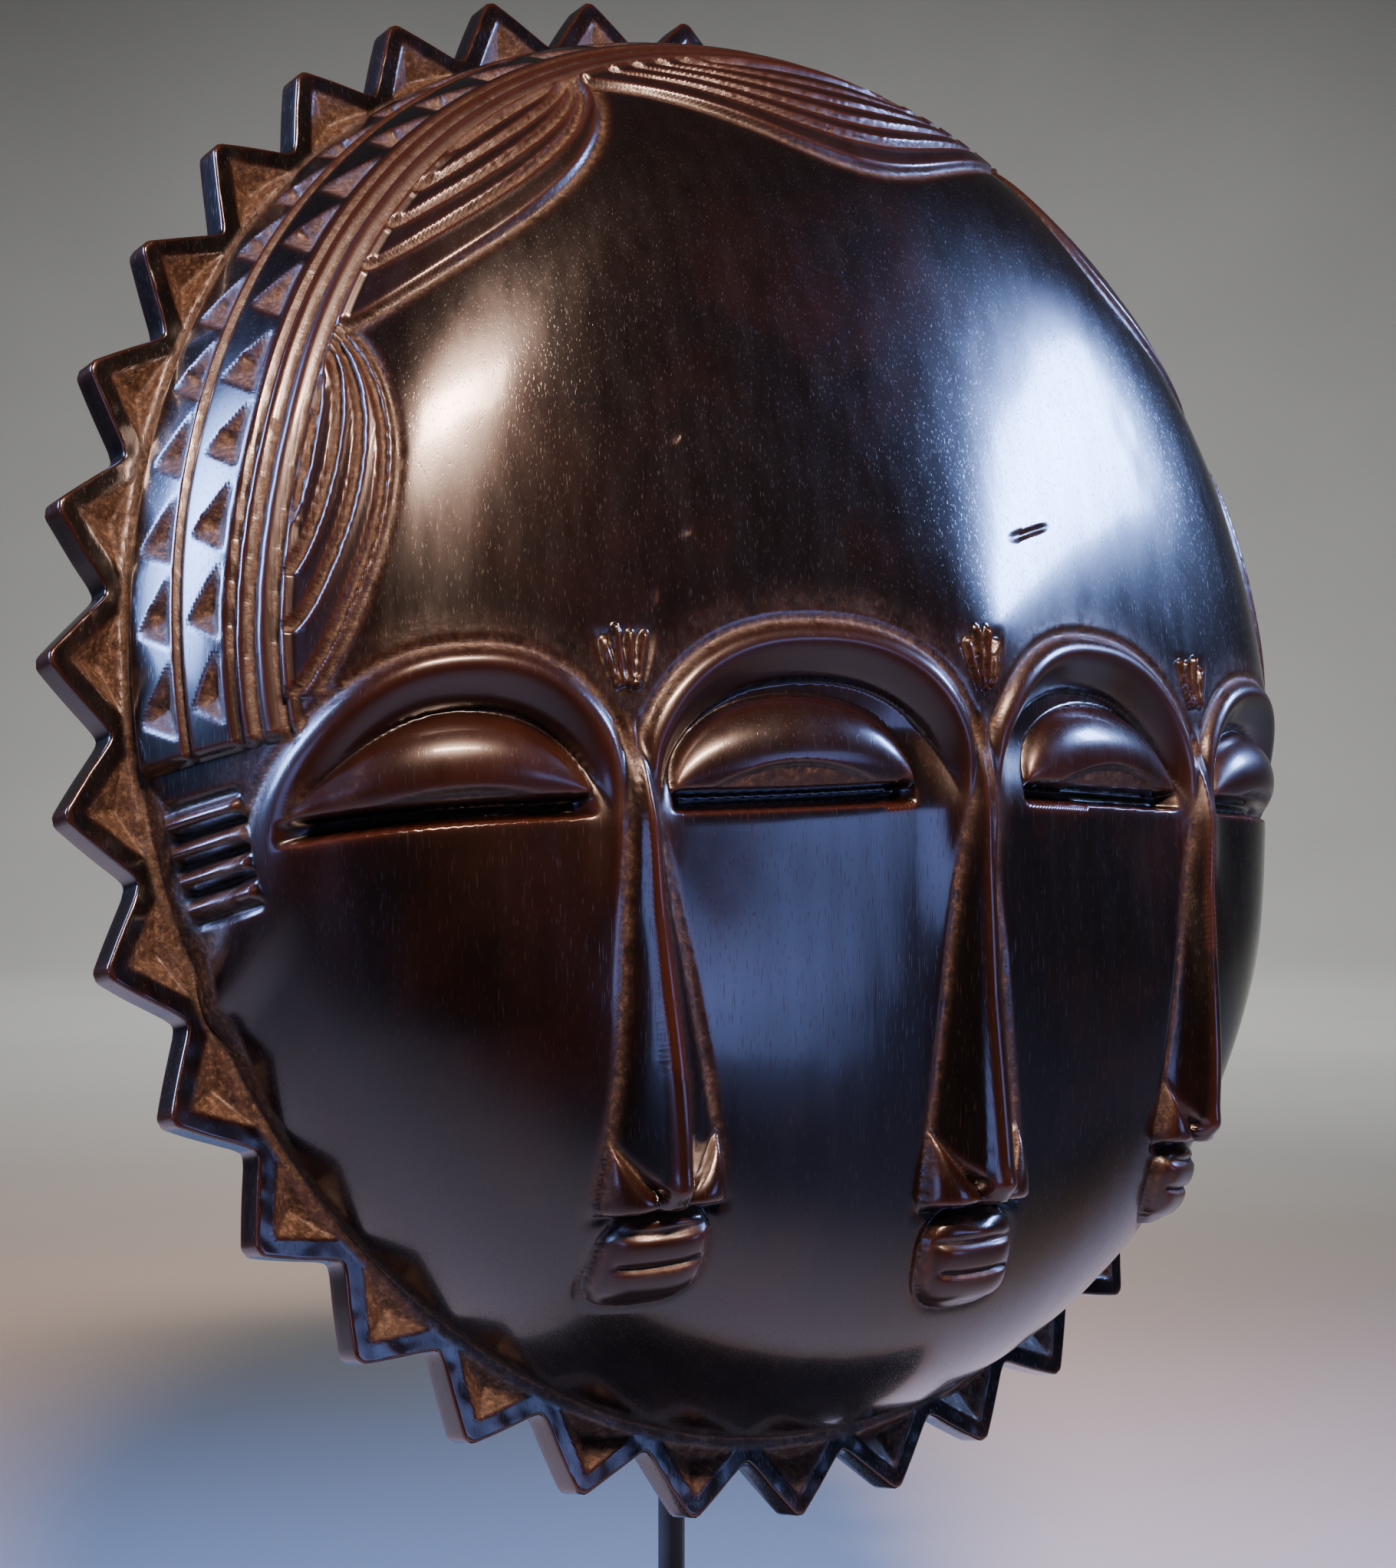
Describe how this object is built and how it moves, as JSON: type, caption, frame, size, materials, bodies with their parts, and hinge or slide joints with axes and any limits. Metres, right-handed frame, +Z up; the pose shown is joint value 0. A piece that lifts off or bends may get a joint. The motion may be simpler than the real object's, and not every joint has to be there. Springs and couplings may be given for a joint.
{
  "type": "baule mask on stand",
  "caption": "Round carved wooden face mask with a toothed rim, a hair border and joined brows over many eyes, on a black steel display stand.",
  "frame": {"origin": "underside of the stand's foot, below the middle of the whole outline", "axes": "+Z up, -Y towards the viewer of the face, +X to the viewer's right"},
  "size_m": [0.316, 0.1187, 0.396],
  "materials": {
    "mask_wood": "polished, dark stained, raw brown in the cuts",
    "bars_steel": "satin black",
    "hooks_steel": "satin black",
    "post_steel": "satin black",
    "foot_steel": "satin black"
  },
  "bodies": {
    "root": {"mask": "mask_wood", "cross_bar": "bars_steel", "spine": "bars_steel", "upper_hook": "hooks_steel", "lower_hook": "hooks_steel", "post": "post_steel", "post_block": "post_steel", "foot": "foot_steel"}
  },
  "joints": []
}
